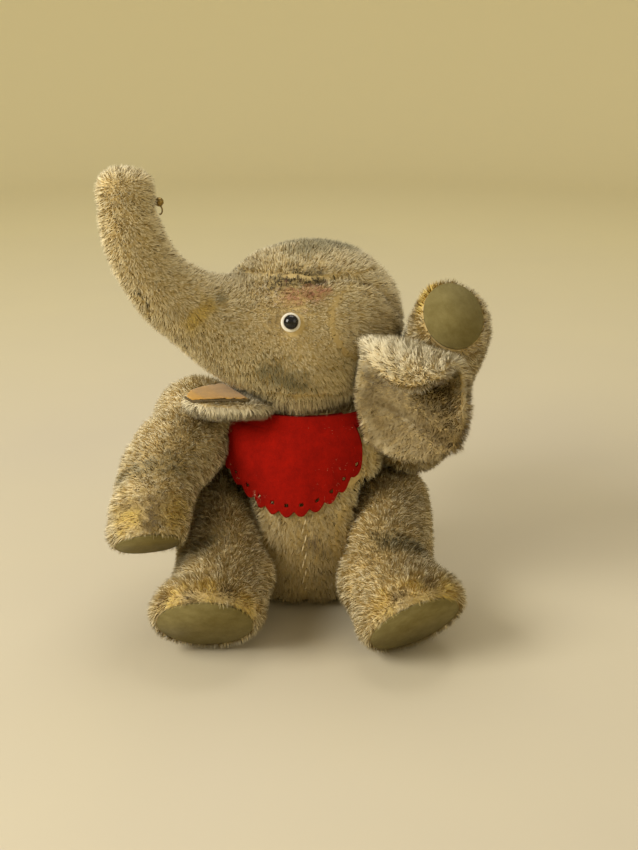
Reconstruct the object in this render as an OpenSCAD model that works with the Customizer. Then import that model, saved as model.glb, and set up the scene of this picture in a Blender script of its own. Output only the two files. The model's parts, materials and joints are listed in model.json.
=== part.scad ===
// Jointed plush elephant, sitting, with a raised trunk and a felt bib.
// +Z is up, the body faces -Y, and the origin is under the body on the seat.

/* [Body] */
// Height of the body from the seat to the neck joint
body_h = 97; // [85:1:115]
// Width of the body at the belly, under its pile
body_w = 78; // [68:1:88]
// Depth of the body at the belly, under its pile
body_d = 74; // [60:1:84]
// Distance between the two flat hip faces
hip_w = 44; // [38:1:52]
// Distance between the two flat shoulder faces
shoulder_w = 70; // [62:1:74]
// Radius of the flat patch that the body sits on
seat_r = 20; // [12:1:24]
// Thickness of the woven backing of the skin
skin_t = 1.2; // [0.8:0.1:2]

/* [Head] */
// Height of the skull, under its pile
skull_h = 78; // [70:1:88]
// Length of the skull from its back to the eyes' front
skull_l = 95; // [84:1:106]
// Width of the skull over the cheeks
skull_w = 72; // [62:1:78]
// Height of the middle of the skull over the neck joint
skull_up = 37; // [34:1:44]
// Turn of the head away from straight ahead
head_turn = -60; // [-70:1:-50]
// Reach of the trunk from the neck's axis
trunk_reach = 87; // [80:1:96]
// Height of the trunk's end over the neck joint
trunk_up = 117; // [108:1:126]
// Radius of the trunk at its end
trunk_r = 10.5; // [8:0.5:13]

/* [Ears] */
// Length of an ear from its seam to its free edge
ear_l = 55; // [46:1:62]
// Height of an ear
ear_h = 54; // [46:1:62]
// Thickness of each of an ear's two layers
ear_t = 2; // [1.2:0.1:3]
// Angle between an ear and the side of the head
ear_flare = 65; // [55:1:70]

/* [Eyes] */
// Diameter of the black glass eye
eye_d = 7; // [5:0.5:9]
// Diameter of the white felt ring behind the eye
eye_ring_d = 9.4; // [8:0.2:11]

/* [Arms] */
// Distance from the shoulder pivot to the paw pad, straight down the arm
arm_l = 70; // [62:1:76]
// Thickness of the arm at the shoulder
arm_w = 36; // [28:1:40]
// Depth of the arm at the shoulder
arm_d = 36; // [30:1:40]
// Backward turn of a paw pad from square to the arm
arm_bend = 23; // [16:1:28]
// Sideways bend and outward turn of the left paw
arm_left_out = [17, 20]; // [-12:1:24]
// Sideways bend and outward turn of the right paw
arm_right_out = [20, -8]; // [-12:1:24]
// Height of the shoulder pivots
shoulder_z = 84; // [78:1:85]
// Swing of the right arm forward from hanging down
arm_right_swing = 60; // [54:1:64]
// Swing of the left arm forward from hanging down
arm_left_swing = 154; // [148:1:162]
// Width of a paw pad
paw_w = 31; // [26:1:34]

/* [Legs] */
// Distance from the hip pivot to the foot pad
leg_l = 86; // [74:1:94]
// Thickness of the leg at the hip
leg_w = 37; // [34:1:42]
// Depth of the thigh
leg_d = 47; // [40:1:52]
// Height of the hip pivots
hip_z = 38; // [34:1:42]
// Angle of a leg below level
leg_drop = 14; // [10:1:16]
// Width of a foot pad
foot_w = 45; // [38:1:48]
// Tilt of the foot pad from square to the leg
foot_tilt = 22; // [10:1:30]
// Sideways bend and turn of the left foot
foot_left_out = [9, 24]; // [0:1:30]
// Sideways bend and turn of the right foot
foot_right_out = [3, 0]; // [0:1:30]

/* [Joints] */
// Diameter of the fibre discs in the neck
neck_disc_d = 15; // [14:1:18]
// Diameter of the fibre discs in the shoulders
arm_disc_d = 14; // [12:1:14]
// Diameter of the fibre discs in the hips
leg_disc_d = 21; // [16:1:22]
// Thickness of the fibre discs
disc_t = 1.6; // [1:0.1:2.5]
// Diameter of a split pin's shank
pin_d = 3; // [2:0.1:4]
// Radial clearance of a pin in the disc that turns on it
pin_fit = 0.08; // [0.03:0.01:0.1]
// Diameter of the steel washers
washer_d = 11; // [9:0.5:14]
// Thickness of the steel washers
washer_t = 0.8; // [0.5:0.1:1.2]
// Gap between two skins that turn on each other
turn_gap = 0.4; // [0.3:0.1:0.8]
// Gap between fixed pieces that lie against each other
rest_gap = 0.05; // [0.02:0.01:0.1]

/* [Bib] */
// Radius of the bib's outline from the neck
bib_r = 46; // [38:1:50]
// Thickness of the felt
felt_t = 1.2; // [0.8:0.1:2]
// Turn of the bib round the neck
bib_turn = -9; // [-14:1:0]
// Number of scallops along the edge
bib_scallops = 9; // [7:1:13]

/* [Hidden] */
$fn = 48;

sides = 24;                      // points round each ring of a stuffed shape
arm_bow = arm_l * tan(arm_bend) / PI;   // how far the elbow stands forward
pocket_gap = 0.3;                // room round a disc in the stuffing
disc_in = skin_t + rest_gap;     // depth of a disc's outer face under the skin's face
stack = disc_t + 2 * rest_gap + washer_t;
curl_r = 1.6;                    // radius of the curls at a split pin's end
curl_wire = 0.7;                 // radius of the wire in those curls
neck_at = [0, 0, body_h];
hip_y = 2;
mohair = [0.74, 0.68, 0.54];
kapok = [0.93, 0.9, 0.82];
felt_grey = [0.47, 0.46, 0.36];

// Turns a point about X, then Y, then Z
function turned(p, a) =
    let (x1 = p.x, y1 = p.y * cos(a.x) - p.z * sin(a.x), z1 = p.y * sin(a.x) + p.z * cos(a.x))
    let (x2 = x1 * cos(a.y) + z1 * sin(a.y), z2 = z1 * cos(a.y) - x1 * sin(a.y))
    [x2 * cos(a.z) - y1 * sin(a.z), x2 * sin(a.z) + y1 * cos(a.z), z2];

// A smooth curve through the rows of a table, with t from 0 to the last row
function smooth_row(rows, t) =
    let (n = len(rows) - 1, i = min(floor(t), n - 1), f = t - i)
    let (a = rows[max(i - 1, 0)], b = rows[i], c = rows[i + 1], d = rows[min(i + 2, n)])
    b + f * (c - a) / 2 + f * f * (a - 2.5 * b + 2 * c - d / 2)
        + f * f * f * (1.5 * (b - c) + (d - a) / 2);

// A ring of points: place, turn, half width, half depth, and the least and most x and the least z
function ring(at, turn, rx, ry, low = [-999, -999], high = 999) = [
    for (i = [0:sides - 1])
    let (p = at + turned([rx * cos(i * 360 / sides), ry * sin(i * 360 / sides), 0], turn))
    [min(max(p.x, low.x), high), p.y, max(p.z, low.y)]
];

// A closed solid through rings that all have the same number of points, with ends or as a loop
module loft(rings, loop = false) {
    n = len(rings[0]);
    last = len(rings) - 1;
    start = len(rings) * n;
    caps = [for (r = [rings[0], rings[last]]) [for (k = [0:2]) mean([for (p = r) p[k]])]];
    walls = [
        for (j = [0:loop ? last : last - 1], i = [0:n - 1])
        let (up = (j + 1) % (last + 1) * n, k = (i + 1) % n)
        each [[j * n + i, up + i, j * n + k], [j * n + k, up + i, up + k]]
    ];
    ends = loop ? [] : [
        for (i = [0:n - 1])
        let (k = (i + 1) % n)
        each [[start, i, k], [start + 1, last * n + k, last * n + i]]
    ];
    polyhedron(concat([for (r = rings) each r], loop ? [] : caps), concat(walls, ends), convexity = 6);
}

function mean(v) = v * [for (i = v) 1] / len(v);

// ---- Body ----

// Height, half width, half depth and half the distance between the side flats
body_rows = [
    [0, seat_r, seat_r, hip_w / 2],
    [0.03 * body_h, 0.35 * body_w, 0.33 * body_d, hip_w / 2],
    [0.10 * body_h, 0.44 * body_w, 0.41 * body_d, hip_w / 2],
    [0.22 * body_h, 0.48 * body_w, 0.465 * body_d, hip_w / 2],
    [hip_z, body_w / 2, body_d / 2, hip_w / 2],
    [hip_z + 0.4 * leg_d, body_w / 2, 0.49 * body_d, hip_w / 2],
    [hip_z + 0.53 * leg_d, body_w / 2, 0.48 * body_d, hip_w / 2],
    [hip_z + 0.60 * leg_d, body_w / 2, 0.47 * body_d, shoulder_w / 2],
    [shoulder_z - 0.55 * arm_disc_d, body_w / 2, 0.45 * body_d, shoulder_w / 2],
    [shoulder_z, body_w / 2, 0.42 * body_d, shoulder_w / 2],
    [body_h - 5.4, body_w / 2, 0.36 * body_d, shoulder_w / 2],
    [body_h - 3.4, 0.425 * body_w, 0.33 * body_d, shoulder_w / 2],
    [body_h - 1, 0.36 * body_w, 0.28 * body_d, shoulder_w / 2],
    [body_h, 0.31 * body_w, 0.23 * body_d, shoulder_w / 2],
];

module body_shape(inset) {
    last = len(body_rows) - 1;
    loft([
        for (i = [0:last])
        let (r = body_rows[i], z = min(max(r[0], inset), body_h - inset))
        ring([0, 0, z], [0, 0, 0], r[1] - inset, r[2] - inset, [inset - r[3], 0], r[3] - inset)
    ]);
}

// Puts a joint's pieces in place: they are drawn with the body's flat face at z = 0
// and the moving part above it
module at_neck() { translate(neck_at) children(); }
module at_shoulder(side) {
    translate([side * shoulder_w / 2, 0, shoulder_z]) rotate([0, side * 90, 0]) children();
}
module at_hip(side) {
    translate([side * hip_w / 2, hip_y, hip_z]) rotate([0, side * 90, 0]) children();
}

module skin_hole() {
    translate([0, 0, -2 * skin_t]) cylinder(r = pin_d / 2 + pocket_gap, h = 6 * skin_t);
}

module pocket(d, from, to) {
    translate([0, 0, from]) cylinder(r = d / 2 + pocket_gap, h = to - from);
}

head_t = 1.6;                                   // thickness of a split pin's head
head_r = 3.2;                                   // radius of a split pin's head
in_depth = disc_in + stack + head_t + pocket_gap;
out_depth = turn_gap + disc_in + stack + 2 * (curl_r + curl_wire) + pocket_gap;

module body_pockets() {
    at_neck() pocket(neck_disc_d, -in_depth, 0);
    for (side = [-1, 1]) {
        at_shoulder(side) pocket(arm_disc_d, -in_depth, 0);
        at_hip(side) pocket(leg_disc_d, -in_depth, 0);
    }
}

module torso_skin() {
    color(mohair) difference() {
        body_shape(0);
        body_shape(skin_t);
        at_neck() skin_hole();
        for (side = [-1, 1]) {
            at_shoulder(side) skin_hole();
            at_hip(side) skin_hole();
        }
    }
}

module torso_stuffing() {
    color(kapok) difference() {
        body_shape(skin_t + rest_gap);
        body_pockets();
    }
}

// A disc, a washer and a split pin, drawn along +z with the body below z = 0
module disc(d, z, clear) {
    color("peru") translate([0, 0, z]) difference() {
        cylinder(d = d, h = disc_t);
        translate([0, 0, -1]) cylinder(r = pin_d / 2 + clear, h = disc_t + 2);
    }
}

module washer(z, clear) {
    color("silver") translate([0, 0, z]) difference() {
        cylinder(d = washer_d, h = washer_t);
        translate([0, 0, -1]) cylinder(r = pin_d / 2 + clear, h = washer_t + 2);
    }
}

module body_disc(d) { disc(d, -disc_in - disc_t, rest_gap); }
module body_washer() { washer(-disc_in - disc_t - rest_gap - washer_t, rest_gap); }
module turning_disc(d) { disc(d, turn_gap + disc_in, pin_fit); }
module turning_washer() { washer(turn_gap + disc_in + disc_t + rest_gap, pin_fit); }

module split_pin() {
    bottom = -disc_in - stack + rest_gap;
    top = turn_gap + disc_in + stack;
    color("gainsboro") {
        translate([0, 0, bottom - head_t]) cylinder(r = head_r, h = head_t);
        translate([0, 0, bottom - head_t]) cylinder(d = pin_d, h = top - bottom + head_t + curl_r);
        for (side = [-1, 1])
            translate([side * (curl_r + curl_wire / 2), 0, top + curl_r + curl_wire]) rotate([90, 0, 0])
                rotate_extrude() translate([curl_r, 0]) circle(r = curl_wire);
    }
}

module tail() {
    color(mohair) translate([0, body_d / 2 + 0.6, 0.13 * body_h]) rotate([-64, 0, 0]) {
        cylinder(r = 2.2, h = 20);
        translate([0, 0, 20]) sphere(r = 3);
    }
}

// ---- Bib ----

bib_clear = 3;   // room between the body's skin and the felt, over the pile

// How far the body's front reaches at a height, in a direction round the neck
function body_reach(z, a) =
    let (i = max([for (k = [0:len(body_rows) - 2]) body_rows[k][0] <= z ? k : 0]))
    let (p = body_rows[i], q = body_rows[i + 1], r = p + (q - p) * (z - p[0]) / (q[0] - p[0]))
    min(1 / sqrt(pow(sin(a) / r[1], 2) + pow(cos(a) / r[2], 2)), r[3] / max(abs(sin(a)), 0.01));

bib_half = 52;     // half the angle that the bib takes up round the neck
bib_top = body_h - 4.5;
bib_low = body_h - bib_r;
scallop = 2.2;     // height of a scallop

function bib_edge(t) = (1 - pow(abs(t), 2.6)) * (bib_top - bib_low - 16) + 16 - scallop
    + scallop * abs(sin(90 * bib_scallops * (t + 1)));

function bib_point(t, v, out) =
    let (z = bib_top - v * bib_edge(t), a = t * bib_half)
    let (fall = max([for (h = [z:4:bib_top]) body_reach(h, a)]))
    let (d = max(fall, body_reach(z, a)) + bib_clear + out)
    turned([d * sin(a), -d * cos(a), z], [0, 0, bib_turn]);

module bib() {
    across = 4 * bib_scallops;
    down = 6;
    n = across + 1;
    size = n * (down + 1);
    points = [for (out = [0, felt_t], v = [0:down], i = [0:across]) bib_point(2 * i / across - 1, v / down, out)];
    inner = [
        for (v = [0:down - 1], i = [0:across - 1])
        let (a = v * n + i)
        each [[a, a + 1, a + n], [a + 1, a + n + 1, a + n]]
    ];
    outer = [for (f = inner) [f[2] + size, f[1] + size, f[0] + size]];
    top = [for (i = [0:across - 1]) each [[i, i + size, i + 1], [i + 1, i + size, i + 1 + size]]];
    low = [
        for (i = [0:across - 1])
        let (a = down * n + i)
        each [[a, a + 1, a + size], [a + 1, a + 1 + size, a + size]]
    ];
    ends = [
        for (v = [0:down - 1])
        let (a = v * n, b = a + across)
        each [[a, a + n, a + size], [a + n, a + n + size, a + size],
              [b, b + size, b + n], [b + n, b + size, b + n + size]]
    ];
    color("red") polyhedron(points, [for (f = concat(inner, outer, top, low, ends)) [f[2], f[1], f[0]]], convexity = 6);
}

module bib_band() {
    low = body_h - 3.6;
    color("firebrick") loft([
        for (corner = [[low, 0.4], [low, 0.4 + felt_t], [body_h - 1.6, 0.4 + felt_t], [body_h - 1.6, 0.4]])
        [
            for (i = [0:sides - 1])
            let (a = i * 360 / sides, d = body_reach(low, a) + corner[1])
            [d * sin(a), -d * cos(a), corner[0]]
        ]
    ], loop = true);
}

// ---- Head: drawn facing -Y over the origin, then turned and set on the neck ----

module at_head() { translate(neck_at) rotate([0, 0, head_turn]) children(); }

// Distance ahead of the neck's axis, height over the neck, upward slope, half width, half height
head_rows = [
    [0, skull_up, 0, skull_w / 2, skull_h / 2],
    [15, skull_up + 0.4, 2, 0.48 * skull_w, 0.475 * skull_h],
    [29, skull_up + 3.5, 8, 0.375 * skull_w, 0.37 * skull_h],
    [0.47 * trunk_reach, skull_up + 6, 20, 0.285 * skull_w, 0.28 * skull_h],
    [0.61 * trunk_reach, 0.43 * trunk_up, 33, 0.23 * skull_w, 0.22 * skull_h],
    [0.79 * trunk_reach, 0.53 * trunk_up, 48, trunk_r + 3, trunk_r + 4],
    [0.91 * trunk_reach, 0.65 * trunk_up, 62, trunk_r + 1.5, trunk_r + 2],
    [0.98 * trunk_reach, 0.78 * trunk_up, 76, trunk_r + 0.7, trunk_r + 1.5],
    [trunk_reach, 0.89 * trunk_up, 88, trunk_r, trunk_r],
    [0.995 * trunk_reach, 0.965 * trunk_up, 93, trunk_r + 0.7, trunk_r + 0.8],
    [0.99 * trunk_reach, 0.99 * trunk_up, 93, 0.8 * trunk_r, 0.8 * trunk_r],
    [0.985 * trunk_reach, trunk_up, 93, 0.4 * trunk_r, 0.4 * trunk_r],
];
head_steps = 2;   // rings for each row, so that the trunk's bend is smooth

module head_shape(inset) {
    back = 0.5 * skull_l - inset;
    turns = (len(head_rows) - 1) * head_steps;
    loft(concat(
        [
            for (a = [84:-14:14])
            ring([0, back * sin(a), skull_up], [90, 0, 0], (skull_w / 2 - inset) * cos(a),
                (skull_h / 2 - inset) * cos(a), [-999, turn_gap + inset])
        ],
        [
            for (i = [0:turns])
            let (r = smooth_row(head_rows, i / head_steps), end = max(0, i - turns + 2))
            ring([0, -r[0], r[1] - inset * end / 2], [90 - r[2], 0, 0], r[3] - inset, r[4] - inset,
                [-999, turn_gap + inset])
        ]
    ));
}

module head_skin() {
    color(mohair) difference() {
        at_head() head_shape(0);
        at_head() head_shape(skin_t);
        at_neck() skin_hole();
    }
}

module head_stuffing() {
    color(kapok) difference() {
        at_head() head_shape(skin_t + rest_gap);
        at_neck() pocket(neck_disc_d, 0, out_depth);
    }
}

// Distance ahead, height over the neck, half width and half thickness of the lower lip
lip_rows = [
    [23, 3, 8, 1.2], [27, 4.6, 14, 2.2], [36, 6.2, 17, 3.2],
    [47, 7.4, 14, 3.2], [56, 8.2, 9.5, 2.6], [60, 8.6, 4, 1.2],
];
lining_t = 1.2;

module lower_lip() {
    color(mohair) at_head()
        loft([for (r = lip_rows) ring([0, -r[0], r[1]], [90, 0, 0], r[2], r[3], [-999, turn_gap])]);
}

module mouth_lining() {
    color("tan") at_head() loft([
        for (i = [2:len(lip_rows) - 1])
        let (r = lip_rows[i])
        ring([0, -r[0] - 0.6, r[1] + r[3] + lining_t], [90, 0, 0], 0.8 * r[2], lining_t / 2)
    ]);
}

// A glass eye on its felt ring, at its place on the left of the head
eye_at = [0.385 * skull_w, -22.5, 48];   // place in the head's own frame
eye_look = [68, 0, 62];               // turn from facing up to facing out of the head

eye_proud = 2.4;   // height of the ring's back over eye_at, clear of the curved skin
eye_ring_t = 1;

module at_eye(side) {
    at_head() mirror([side < 0 ? 1 : 0, 0, 0]) translate(eye_at) rotate(eye_look) children();
}

module eye_ring(side) {
    color("white") at_eye(side) translate([0, 0, eye_proud]) cylinder(d = eye_ring_d, h = eye_ring_t);
}

module eye(side) {
    color("black") at_eye(side) translate([0, 0, eye_proud + eye_ring_t + rest_gap]) intersection() {
        translate([0, 0, -1]) sphere(d = eye_d * 1.1);
        cylinder(d = eye_d, h = eye_d);
    }
}

module trunk_stud() {
    color("goldenrod") at_head()
        translate([0, -trunk_reach + trunk_r + 5.2, 0.875 * trunk_up]) {
            sphere(d = 4);
            translate([0, -1, 0]) rotate([90, 0, 0]) cylinder(d = 1.2, h = 1.5);
        }
}

// ---- Ears: a dished sheet of two layers, standing out from the side of the head ----

ear_at = [0.5 * skull_w + 1.2, 8, 0.125 * trunk_up];   // middle of the seam in the head's own frame
ear_dish = 5;                                        // depth of the ear's hollow
ear_square = 0.72;                                   // under 1 makes the outline squarer

function swell(v) = sign(v) * pow(abs(v), ear_square);

// A ring round the ear's middle: its share of the full outline and its depth
function ear_ring(share, deep) = [
    for (i = [0:sides - 1])
    let (a = i * 360 / sides, x = ear_l / 2 * (1 + share * swell(sin(a))))
    let (z = share * ear_h / 2 * swell(cos(a)))
    [x, deep + ear_dish * (1 - pow(2 * x / ear_l - 1, 2)) * (1 - pow(2 * z / ear_h, 2)), z]
];

module ear_layer(side, deep) {
    color(mohair) at_head() mirror([side < 0 ? 1 : 0, 0, 0])
        translate(ear_at) rotate([0, 0, 90 - ear_flare]) loft([
            for (k = [[0.1, 0], [0.45, 0], [0.75, 0], [1, 0.3], [1, 0.7], [0.75, 1], [0.45, 1], [0.1, 1]])
            ear_ring(k[0], deep + k[1] * ear_t)
        ]);
}

module ear_lining(side) { ear_layer(side, -ear_t - rest_gap); }
module ear(side) { ear_layer(side, 0); }

// ---- Limbs: drawn hanging down from the joint, for the left side ----

// Middle x, y and z, turn about X and Y, half width and half depth, and the least x if it isn't the joint face's
function arm_rows(out) = [
    [0.42 * arm_w + out.x, 0, -arm_l, arm_bend, -out.y, paw_w / 2, 1.1 * paw_w / 2],
    [0.42 * arm_w + 1.01 * out.x, -0.12 * arm_bow, -0.95 * arm_l, arm_bend, -out.y, 0.46 * arm_w, 0.47 * arm_d],
    [0.42 * arm_w + 0.97 * out.x, -0.64 * arm_bow, -0.78 * arm_l, 0.7 * arm_bend, -0.8 * out.y, 0.47 * arm_w,
        0.475 * arm_d],
    [0.42 * arm_w + 0.80 * out.x, -arm_bow, -0.54 * arm_l, 0.1 * arm_bend, -16, 0.47 * arm_w, 0.46 * arm_d],
    [0.42 * arm_w + 0.42 * out.x, -0.81 * arm_bow, -0.30 * arm_l, -0.4 * arm_bend, -16, 0.53 * arm_w, 0.48 * arm_d],
    [0.42 * arm_w, -0.37 * arm_bow, -0.12 * arm_l, 0, 0, 0.58 * arm_w, arm_d / 2],
    [0.42 * arm_w, 0, 9, 0, 0, 0.57 * arm_w, 0.47 * arm_d],
    [0.45 * arm_w, 0, 17, 0, 0, 0.44 * arm_w, 0.37 * arm_d],
    [0.47 * arm_w, 0, 22, 0, 0, 0.27 * arm_w, 0.23 * arm_d],
    [0.48 * arm_w, 0, 24, 0, 0, 0.10 * arm_w, 0.09 * arm_d],
];

function leg_rows(out) = [
    [0.50 * leg_w + out.x, -3, -leg_l, foot_tilt, -out.y, foot_w / 2, 0.93 * foot_w / 2, -thigh_in],
    [0.50 * leg_w + 0.95 * out.x, -3, -0.955 * leg_l, foot_tilt, -out.y, foot_w / 2 + 1.5, 0.49 * leg_d, -thigh_in],
    [0.49 * leg_w + 0.80 * out.x, -2.5, -0.86 * leg_l, 0.9 * foot_tilt, -out.y, foot_w / 2 + 1.5, 0.48 * leg_d, -thigh_in],
    [0.42 * leg_w + 0.50 * out.x, -1, -0.73 * leg_l, 0.5 * foot_tilt, -0.8 * out.y, 0.56 * leg_w, 0.42 * leg_d,
        -thigh_in],
    [0.36 * leg_w + 0.25 * out.x, 0.5, -0.57 * leg_l, 0.2 * foot_tilt, -0.6 * out.y, 0.58 * leg_w, 0.43 * leg_d,
        -thigh_in],
    [0.42 * leg_w + 0.10 * out.x, 0, -0.47 * leg_l, 0, 0, 0.54 * leg_w, 0.45 * leg_d, turn_gap],
    [0.46 * leg_w + 0.05 * out.x, 0, -0.26 * leg_l, 0, 0, 0.54 * leg_w, 0.47 * leg_d, turn_gap],
    [0.46 * leg_w, 0, -5, 0, 0, 0.56 * leg_w, leg_d / 2, turn_gap],
    [0.46 * leg_w, 0, 11.5, 0, 0, 0.55 * leg_w, 0.45 * leg_d, turn_gap],
    [0.47 * leg_w, 0, 18, 0, 0, 0.42 * leg_w, 0.31 * leg_d, turn_gap],
    [0.48 * leg_w, 0, 22, 0, 0, 0.25 * leg_w, 0.18 * leg_d, turn_gap],
    [0.50 * leg_w, 0, 23.5, 0, 0, 0.10 * leg_w, 0.08 * leg_d, turn_gap],
];

// A limb's stuffed shape, shrunk on every side by inset, with a flat face towards the body
module limb_shape(rows, inset) {
    last = len(rows) - 1;
    loft([
        for (i = [0:last])
        let (r = rows[i], turn = [r[3], r[4], 0])
        let (shift = turned([0, 0, i == 0 ? inset : i == last ? -inset : 0], turn))
        ring([r.x, r.y, r.z] + shift, turn, max(r[5] - inset, 1), max(r[6] - inset, 1),
            [(len(r) > 7 ? r[7] : turn_gap) + inset, -999])
    ]);
}

pad_t = 1.4;        // thickness of a felt pad at its middle
pad_rim = 0.9;      // distance that a pad's edge stays inside the limb's rim

module limb_pad(rows) {
    r = rows[0];
    turn = [r[3], r[4], 0];
    color(felt_grey) loft([
        for (k = [[pad_t, 0.35], [0.85 * pad_t, 0.75], [0.25, 1], [0, 1]])
        ring([r.x, r.y, r.z] + turned([0, 0, -k[0] - rest_gap], turn), turn,
            (r[5] - pad_rim) * k[1], (r[6] - pad_rim) * k[1], [turn_gap, -999])
    ]);
}

// Puts a left limb that hangs from the origin on either side, swung forward by an angle
module at_limb(side, at, swing) {
    translate([side * at.x, at.y, at.z]) mirror([side < 0 ? 1 : 0, 0, 0]) rotate([-swing, 0, 0]) children();
}

module arm_place(side) {
    at_limb(side, [shoulder_w / 2, 0, shoulder_z], side > 0 ? arm_left_swing : arm_right_swing) children();
}

module leg_place(side) { at_limb(side, [hip_w / 2, hip_y, hip_z], 90 - leg_drop) children(); }

thigh_in = 12;   // how far a leg may bulge inwards in front of the body
function side_arm_rows(side) = arm_rows(side > 0 ? arm_left_out : arm_right_out);
function side_leg_rows(side) = leg_rows(side > 0 ? foot_left_out : foot_right_out);

module arm_skin(side) {
    color(mohair) difference() {
        arm_place(side) limb_shape(side_arm_rows(side), 0);
        arm_place(side) limb_shape(side_arm_rows(side), skin_t);
        at_shoulder(side) skin_hole();
    }
}

module arm_stuffing(side) {
    color(kapok) difference() {
        arm_place(side) limb_shape(side_arm_rows(side), skin_t + rest_gap);
        at_shoulder(side) pocket(arm_disc_d, 0, out_depth);
    }
}

module leg_skin(side) {
    color(mohair) difference() {
        leg_place(side) limb_shape(side_leg_rows(side), 0);
        leg_place(side) limb_shape(side_leg_rows(side), skin_t);
        at_hip(side) skin_hole();
    }
}

module leg_stuffing(side) {
    color(kapok) difference() {
        leg_place(side) limb_shape(side_leg_rows(side), skin_t + rest_gap);
        at_hip(side) pocket(leg_disc_d, 0, out_depth);
    }
}

torso_skin();
torso_stuffing();
tail();
bib();
bib_band();
at_neck() split_pin();  // neck_pin
at_shoulder(1) split_pin();  // arm_left_pin
at_shoulder(-1) split_pin();  // arm_right_pin
at_hip(1) split_pin();  // leg_left_pin
at_hip(-1) split_pin();  // leg_right_pin
at_neck() body_disc(neck_disc_d);  // neck_body_disc
at_shoulder(1) body_disc(arm_disc_d);  // arm_left_body_disc
at_shoulder(-1) body_disc(arm_disc_d);  // arm_right_body_disc
at_hip(1) body_disc(leg_disc_d);  // leg_left_body_disc
at_hip(-1) body_disc(leg_disc_d);  // leg_right_body_disc
at_neck() body_washer();  // neck_body_washer
at_shoulder(1) body_washer();  // arm_left_body_washer
at_shoulder(-1) body_washer();  // arm_right_body_washer
at_hip(1) body_washer();  // leg_left_body_washer
at_hip(-1) body_washer();  // leg_right_body_washer
head_skin();
head_stuffing();
lower_lip();
mouth_lining();
at_neck() turning_disc(neck_disc_d);  // neck_head_disc
at_neck() turning_washer();  // neck_head_washer
trunk_stud();
eye(1);  // eye_left
eye(-1);  // eye_right
eye_ring(1);  // eye_ring_left
eye_ring(-1);  // eye_ring_right
ear(1);  // ear_left
ear(-1);  // ear_right
ear_lining(1);  // ear_lining_left
ear_lining(-1);  // ear_lining_right
arm_skin(1);  // arm_left_skin
arm_stuffing(1);  // arm_left_stuffing
arm_place(1) limb_pad(side_arm_rows(1));  // arm_left_pad
at_shoulder(1) turning_disc(arm_disc_d);  // arm_left_disc
at_shoulder(1) turning_washer();  // arm_left_washer
arm_skin(-1);  // arm_right_skin
arm_stuffing(-1);  // arm_right_stuffing
arm_place(-1) limb_pad(side_arm_rows(-1));  // arm_right_pad
at_shoulder(-1) turning_disc(arm_disc_d);  // arm_right_disc
at_shoulder(-1) turning_washer();  // arm_right_washer
leg_skin(1);  // leg_left_skin
leg_stuffing(1);  // leg_left_stuffing
leg_place(1) limb_pad(side_leg_rows(1));  // leg_left_pad
at_hip(1) turning_disc(leg_disc_d);  // leg_left_disc
at_hip(1) turning_washer();  // leg_left_washer
leg_skin(-1);  // leg_right_skin
leg_stuffing(-1);  // leg_right_stuffing
leg_place(-1) limb_pad(side_leg_rows(-1));  // leg_right_pad
at_hip(-1) turning_disc(leg_disc_d);  // leg_right_disc
at_hip(-1) turning_washer();  // leg_right_washer
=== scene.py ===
import json
import math

import bmesh
import bpy
import numpy as np
from mathutils import Matrix, Vector
from mathutils.bvhtree import BVHTree


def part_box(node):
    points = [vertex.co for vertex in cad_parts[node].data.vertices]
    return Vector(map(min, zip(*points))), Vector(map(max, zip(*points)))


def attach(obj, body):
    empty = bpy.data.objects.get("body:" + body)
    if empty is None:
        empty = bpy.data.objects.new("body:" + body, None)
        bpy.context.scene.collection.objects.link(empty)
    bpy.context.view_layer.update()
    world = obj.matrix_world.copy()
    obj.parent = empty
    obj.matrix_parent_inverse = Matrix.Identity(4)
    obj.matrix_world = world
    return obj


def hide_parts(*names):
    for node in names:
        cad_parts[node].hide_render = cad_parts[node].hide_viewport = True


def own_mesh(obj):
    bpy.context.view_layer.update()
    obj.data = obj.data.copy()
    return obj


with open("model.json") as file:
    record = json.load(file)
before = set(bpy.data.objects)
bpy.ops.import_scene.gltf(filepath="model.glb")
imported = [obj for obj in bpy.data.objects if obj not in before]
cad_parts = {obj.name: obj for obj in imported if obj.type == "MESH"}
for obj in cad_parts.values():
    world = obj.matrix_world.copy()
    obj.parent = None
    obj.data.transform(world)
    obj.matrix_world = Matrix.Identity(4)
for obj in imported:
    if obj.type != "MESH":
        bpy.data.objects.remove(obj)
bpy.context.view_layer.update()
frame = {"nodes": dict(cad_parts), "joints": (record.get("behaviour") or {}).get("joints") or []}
cad_nodes = frame["nodes"]

# ---- Camera: a little above the toy and square to its body ----
# It is made first, and its tilt is the downward look of somebody at a table.

seat_middle = Vector((0.007, 0, 0.084))
look_down = math.radians(20)
viewing_distance = 0.69
camera_data = bpy.data.cameras.new("table_camera")
camera_data.sensor_fit = "VERTICAL"
camera_data.sensor_height = 36
camera_data.lens = 60.6
camera = bpy.data.objects.new("table_camera", camera_data)
bpy.context.scene.collection.objects.link(camera)
camera.location = seat_middle + viewing_distance * Vector((0, -math.cos(look_down), math.sin(look_down)))
camera.rotation_euler = (math.radians(90) - look_down, 0, 0)
bpy.context.scene.camera = camera
bpy.context.scene.view_settings.view_transform = "Standard"

# ---- Table and backdrop: one pale cloth, flat under the toy and swept up far all round ----
# A profile of edges is spun into a wide shallow bowl, so the cloth lies behind the toy from every side.


def paint(red, green, blue):
    """A screen colour, each part from 0 to 255, as the linear colour that a shader reads."""
    parts = [c / 255 for c in (red, green, blue)]
    return tuple(c / 12.92 if c < 10.3 / 255 else ((c + 0.055) / 1.055) ** 2.4 for c in parts)


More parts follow.
